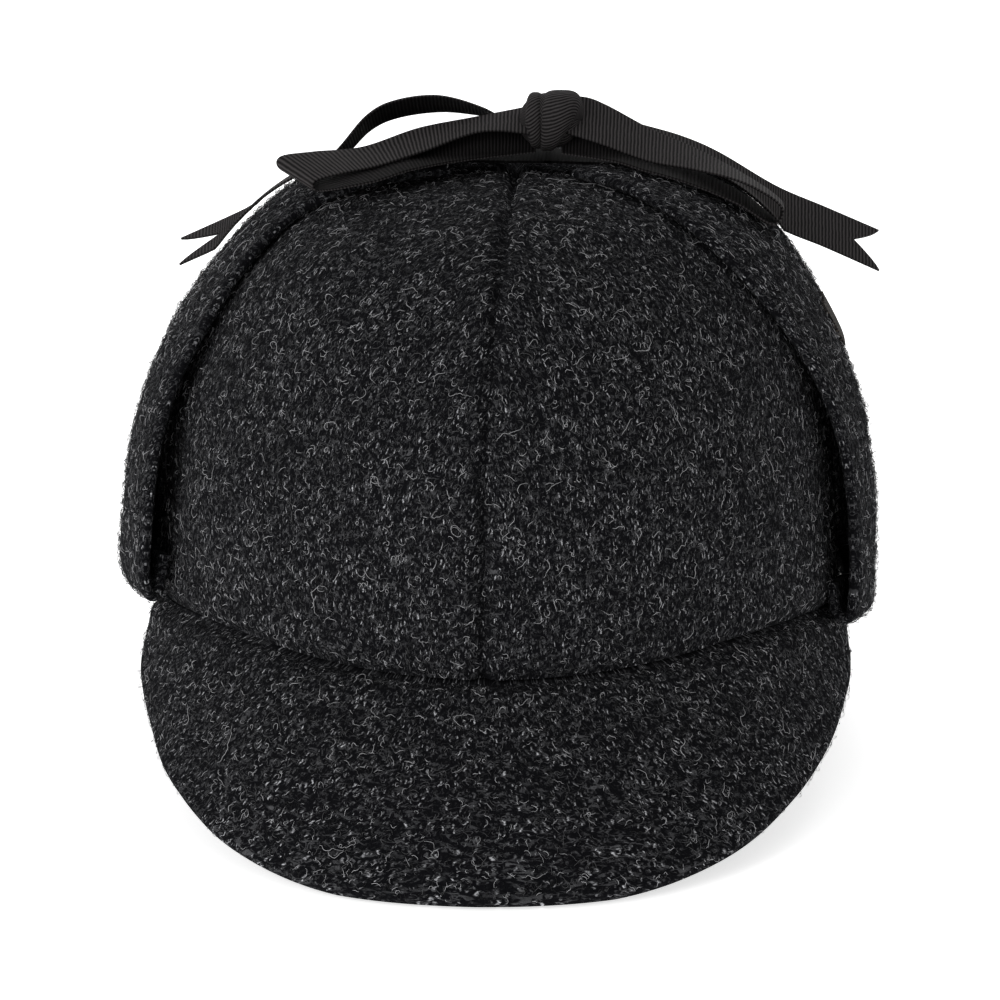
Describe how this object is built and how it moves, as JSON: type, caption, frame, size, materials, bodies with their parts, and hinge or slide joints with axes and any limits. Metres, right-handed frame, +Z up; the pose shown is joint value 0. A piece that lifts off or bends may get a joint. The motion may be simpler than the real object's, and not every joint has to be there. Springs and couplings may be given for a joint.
{
  "type": "deerstalker hat",
  "caption": "Deerstalker hat of herringbone tweed with a peak at the front and rear and ear flaps folded up over the crown, their ribbons tied in a bow.",
  "frame": {"origin": "under the middle of the crown, on the surface that the hat stands on", "axes": "+Z up, -Y towards the front peak, +X towards the wearer's left, so left and right in the names are as seen from the front"},
  "size_m": [0.1962, 0.2784, 0.1707],
  "materials": {
    "tweed": "brushed woollen herringbone, dark grey with pale fibres",
    "ribbon": "ribbed grosgrain, soft sheen",
    "label": "plain woven tape"
  },
  "bodies": {
    "root": {"crown_front_left": "tweed", "crown_front_right": "tweed", "crown_rear_left": "tweed", "crown_rear_right": "tweed", "front_peak": "tweed", "rear_peak": "tweed", "flap_left": "tweed", "flap_right": "tweed", "tie_left": "ribbon", "tie_right": "ribbon", "bow_knot": "ribbon", "bow_loop_left": "ribbon", "bow_loop_right": "ribbon", "bow_tail_left": "ribbon", "bow_tail_right": "ribbon", "flap_label": "label"}
  },
  "joints": []
}
